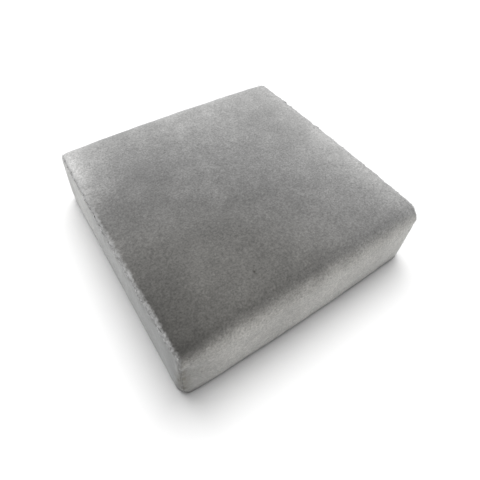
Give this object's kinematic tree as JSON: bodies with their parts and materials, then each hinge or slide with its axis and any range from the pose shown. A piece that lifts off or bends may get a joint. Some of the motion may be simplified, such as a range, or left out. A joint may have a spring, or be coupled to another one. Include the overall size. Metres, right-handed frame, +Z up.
{
  "type": "floor cushion",
  "caption": "Square boxed floor cushion: foam and wadding inside a zip-off velvet cover with a seamless roll at front and back and sewn-in side panels.",
  "frame": {"origin": "middle of the underside, on the floor", "axes": "+Z up; -Y is the front, with the seamless rolled edge; +Y is the back, with the zip; -X and +X are the sewn-in side panels"},
  "size_m": [0.6, 0.6, 0.166],
  "materials": {
    "velvet": "matte",
    "thread": "matte",
    "zip_tape": "matte",
    "zip_teeth": "satin",
    "zip_metal": "satin",
    "label": "matte",
    "lining": "matte",
    "wadding": "matte",
    "foam_firm": "matte",
    "foam_soft": "matte"
  },
  "bodies": {
    "cushion": {"foam_firm_core": "foam_firm", "foam_comfort_layer": "foam_soft", "wadding_sleeve": "wadding", "wadding_end_left": "wadding", "wadding_end_right": "wadding", "inner_lining_bag": "lining", "cover_wrap_panel": "velvet", "cover_side_panel_left": "velvet", "cover_side_panel_right": "velvet", "cover_base_panel": "velvet", "cover_zip_facing": "velvet", "seam_thread_left": "thread", "seam_thread_right": "thread", "seam_thread_base": "thread", "seam_thread_zip": "thread", "zip_tape_upper": "zip_tape", "zip_tape_lower": "zip_tape", "zip_teeth_upper": "zip_teeth", "zip_teeth_lower": "zip_teeth", "zip_top_stops": "zip_metal", "zip_bottom_stop": "zip_metal", "care_label": "label"},
    "slider": {"zip_slider": "zip_metal"},
    "pull_tab": {"zip_pull_tab": "zip_metal"}
  },
  "joints": [
    {"name": "zip_slide", "type": "slide", "parent": "cushion", "child": "slider", "axis": [-1, 0, 0], "range_m": [0, 0.518]},
    {"name": "pull_tab_flip", "type": "hinge", "parent": "slider", "child": "pull_tab", "pos_m": [0.2595, 0.29515, 0.034], "axis": [0, 0, -1], "range_deg": [0, 175]}
  ]
}
